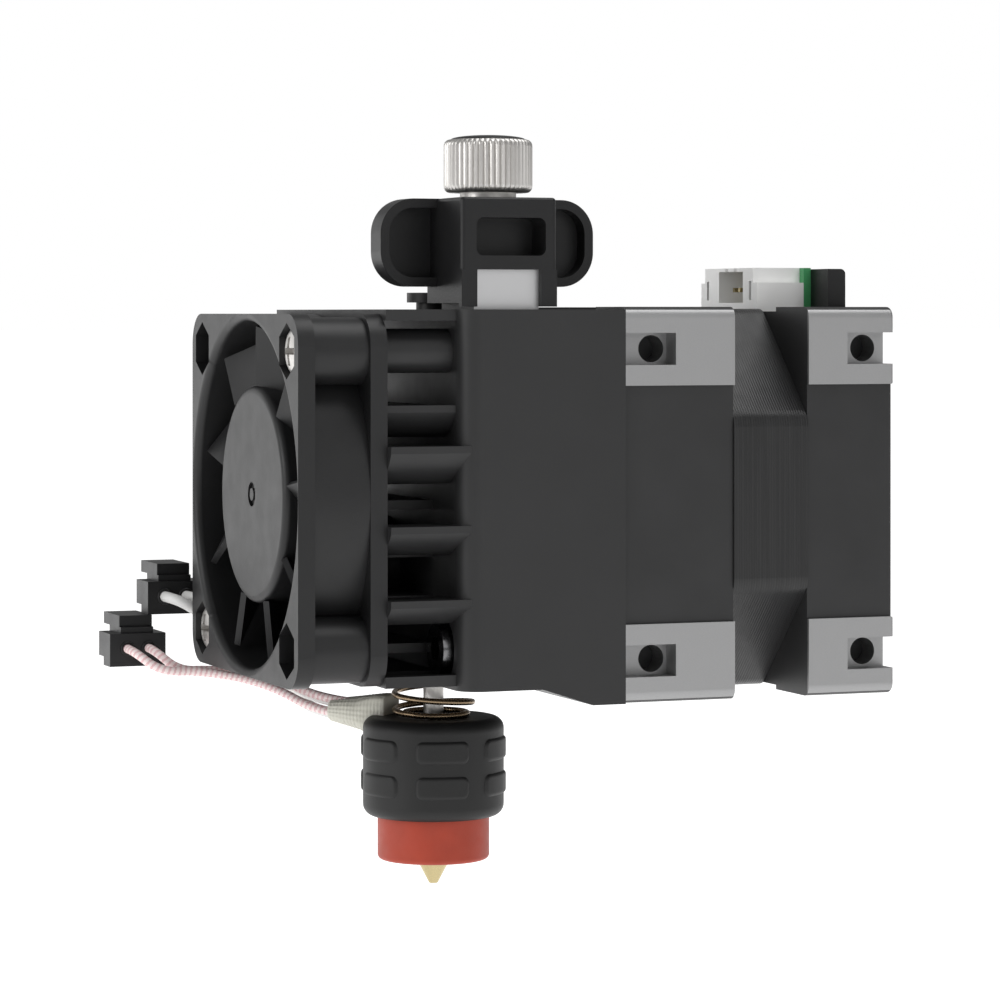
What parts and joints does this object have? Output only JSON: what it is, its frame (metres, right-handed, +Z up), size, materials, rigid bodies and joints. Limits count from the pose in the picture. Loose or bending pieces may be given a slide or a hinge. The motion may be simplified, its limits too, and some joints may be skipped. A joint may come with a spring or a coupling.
{
  "type": "hotend assembly",
  "caption": "Direct-drive filament extruder: finned body with side cooling fan, geared stepper motor, tension lever with thumb screw, and a spring-loaded heater with nozzle on wire leads.",
  "frame": {"origin": "middle of the four mounting screws on the motor's +Y side, on the plane of their slots' floors", "axes": "+X along the motor's axis from the fan to the motor's back, +Y out of the mounting side, +Z up, against the way the filament goes"},
  "size_m": [0.0784, 0.0536, 0.0837],
  "materials": {
    "fan_plastic": "black moulded, satin",
    "anodised": "black anodised, satin",
    "bare_aluminium": "machined, brushed",
    "motor_cap": "black coating with machined corners",
    "stack": "black laminations",
    "steel": "brushed",
    "black_screw": "black oxide",
    "magnet": "ground",
    "copper": "enamelled wire",
    "white_plastic": "moulded, satin",
    "black_plastic": "moulded, satin",
    "board": "solder mask",
    "brass": "turned",
    "spring_steel": "bronze tint",
    "cap_black": "moulded, matt",
    "sock_red": "silicone",
    "ceramic": "white, matt",
    "wire_white": "insulation",
    "wire_striped": "braided glass fibre with a tracer",
    "braid": "woven glass fibre"
  },
  "bodies": {
    "root": {"housing": "anodised", "housing_screws": "black_screw", "filament_guide": "black_plastic", "fan_frame": "fan_plastic", "fan_stator": "copper", "fan_screws": "steel", "motor_front_cap": "motor_cap", "stator_laminations": "stack", "stator_windings": "copper", "motor_rear_cap": "motor_cap", "motor_tie_bolts": "steel", "motor_bearings": "steel", "motor_header": "white_plastic", "motor_header_pins": "brass", "motor_header_board": "board", "motor_header_cover": "black_plastic", "drive_bearings": "steel", "arm_pivot_pin": "steel", "tension_plunger": "steel", "nozzle_thread": "steel", "heat_break": "steel", "nozzle": "brass", "hot_side_spring": "spring_steel"},
    "fan_rotor": {"fan_impeller": "fan_plastic", "fan_magnet_ring": "magnet"},
    "rotor": {"motor_rotor": "magnet", "motor_shaft": "steel", "motor_pinion": "steel"},
    "drive": {"drive_gear": "steel", "drive_shaft": "steel", "reduction_gear": "steel"},
    "arm": {"idler_arm": "bare_aluminium", "idler_pin": "steel", "tension_lever": "black_plastic", "lever_pin": "steel", "lever_insert": "brass", "tension_spring": "steel"},
    "idler": {"idler_gear": "steel"},
    "seat": {"spring_seat": "steel"},
    "thumb": {"thumb_screw": "steel", "thumb_screw_cap": "black_plastic"},
    "heater": {"heater_core": "brass", "temperature_sensor": "steel", "heater_cap": "cap_black", "lead_block": "ceramic", "silicone_sock": "sock_red", "wire_sleeve": "braid", "sensor_wire_a": "wire_striped", "sensor_wire_b": "wire_striped", "heater_wire_a": "wire_white", "heater_wire_b": "wire_white", "sensor_plug": "black_plastic", "heater_plug": "black_plastic"}
  },
  "joints": [
    {"name": "fan_spin", "type": "hinge", "parent": "root", "child": "fan_rotor", "pos_m": [-0.04945, -0.0189, 0.00084], "axis": [1, 0, 0], "continuous": true},
    {"name": "rotor_spin", "type": "hinge", "parent": "root", "child": "rotor", "pos_m": [-0.00885, -0.0189, 0], "axis": [1, 0, 0], "continuous": true},
    {"name": "drive_spin", "type": "hinge", "parent": "root", "child": "drive", "pos_m": [-0.03015, -0.01465, -0.0075], "axis": [1, 0, 0], "continuous": true},
    {"name": "arm_swing", "type": "hinge", "parent": "root", "child": "arm", "pos_m": [-0.03015, -0.0361, 0.0145], "axis": [1, 0, 0], "range_deg": [-3, 0], "stiffness_Nm_per_rad": 0.5, "springref_deg": 8.59},
    {"name": "idler_spin", "type": "hinge", "parent": "arm", "child": "idler", "pos_m": [-0.03015, -0.02315, -0.0075], "axis": [1, 0, 0], "continuous": true},
    {"name": "thumb_travel", "type": "slide", "parent": "arm", "child": "seat", "axis": [0, 0, 1], "range_m": [0, 0.001], "deforming": ["tension_spring"]},
    {"name": "thumb_turn", "type": "hinge", "parent": "seat", "child": "thumb", "pos_m": [-0.03015, -0.0329, 0.034], "axis": [0, 0, 1], "range_deg": [0, 720]},
    {"name": "heater_float", "type": "slide", "parent": "root", "child": "heater", "axis": [0, 0, 1], "range_m": [0, 0.0005], "stiffness_N_per_m": 4000, "springref_m": -0.003, "deforming": ["hot_side_spring"]}
  ],
  "couplings": [
    {"joint": "drive_spin", "follows": "rotor_spin", "ratio": -0.30303},
    {"joint": "idler_spin", "follows": "rotor_spin", "ratio": 0.30303},
    {"joint": "thumb_turn", "follows": "thumb_travel", "rad_per_m": 12566}
  ]
}
